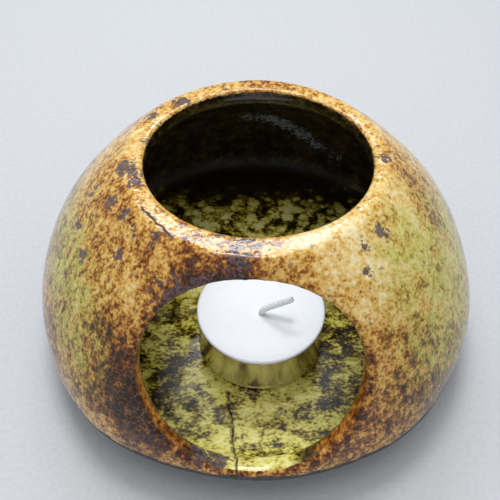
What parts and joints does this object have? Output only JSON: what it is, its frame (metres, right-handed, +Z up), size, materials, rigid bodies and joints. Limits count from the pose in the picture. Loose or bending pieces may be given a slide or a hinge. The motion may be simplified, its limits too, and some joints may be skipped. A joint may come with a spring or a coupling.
{
  "type": "oil burner",
  "caption": "Glazed stoneware dome burner with an oval mouth on top, an oval front opening and a wax candle in a thin metal cup on its floor.",
  "frame": {"origin": "on the table under the middle of the foot ring", "axes": "+Z up through the mouth; the front opening faces -Y; +X to the right of someone who faces the front opening"},
  "size_m": [0.1348, 0.1348, 0.0691],
  "materials": {
    "glaze": "glossy mottled amber, cream, yellow-green and brown glaze over a bare dark foot",
    "cup_metal": "bright pressed sheet",
    "wax": "smooth white wax, soft sheen",
    "plate_metal": "thin tinned sheet",
    "wick_cord": "waxed braided cord"
  },
  "bodies": {
    "body": {"ceramic_body": "glaze"},
    "tealight": {"tealight_cup": "cup_metal", "wax": "wax", "wick_plate": "plate_metal", "wick": "wick_cord"}
  },
  "joints": [
    {"name": "tealight_out", "type": "slide", "parent": "body", "child": "tealight", "axis": [0, -0.9063, 0.4226], "range_m": [0, 0.09]}
  ]
}
